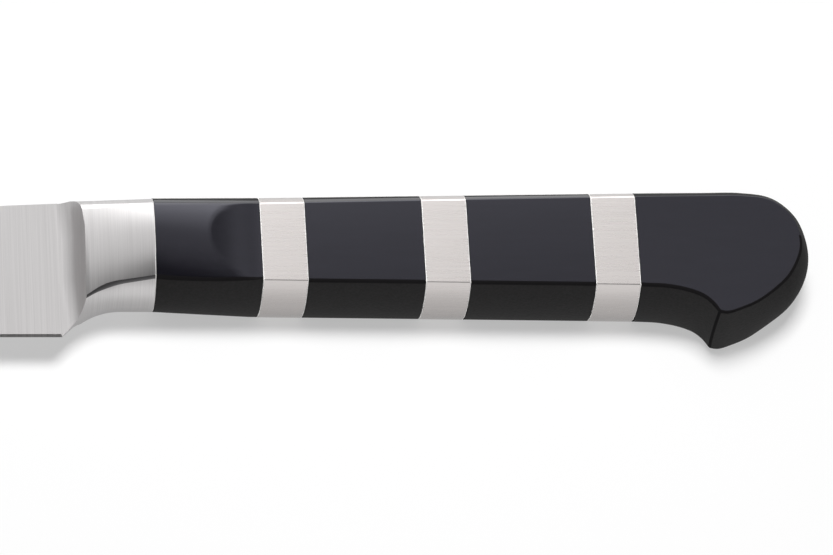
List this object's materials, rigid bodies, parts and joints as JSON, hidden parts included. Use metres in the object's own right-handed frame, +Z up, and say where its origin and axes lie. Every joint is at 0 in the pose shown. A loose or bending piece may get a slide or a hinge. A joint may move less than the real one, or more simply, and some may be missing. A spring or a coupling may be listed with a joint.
{
  "type": "serrated utility knife",
  "caption": "Forged serrated utility knife with a bolster and a flat-sided handle of black plastic segments and steel rings, ending in a hooked butt.",
  "frame": {"origin": "under the middle of the knife's bounding box, on the surface that it lies on", "axes": "+X from the tip towards the butt, +Y from the cutting edge towards the spine, +Z up through the upper side"},
  "size_m": [0.2538, 0.0256, 0.0149],
  "materials": {
    "forged_steel": "satin, ground across the blade",
    "ring_steel": "satin, ground along the handle",
    "black_plastic": "satin black, sanded",
    "zinc_steel": "zinc plated"
  },
  "bodies": {
    "root": {"forged_blade": "forged_steel", "neck_segment": "black_plastic", "front_ring": "ring_steel", "front_grip": "black_plastic", "middle_ring": "ring_steel", "rear_grip": "black_plastic", "rear_ring": "ring_steel", "butt_segment": "black_plastic", "tang_washer": "zinc_steel", "tang_nut": "zinc_steel"}
  },
  "joints": []
}
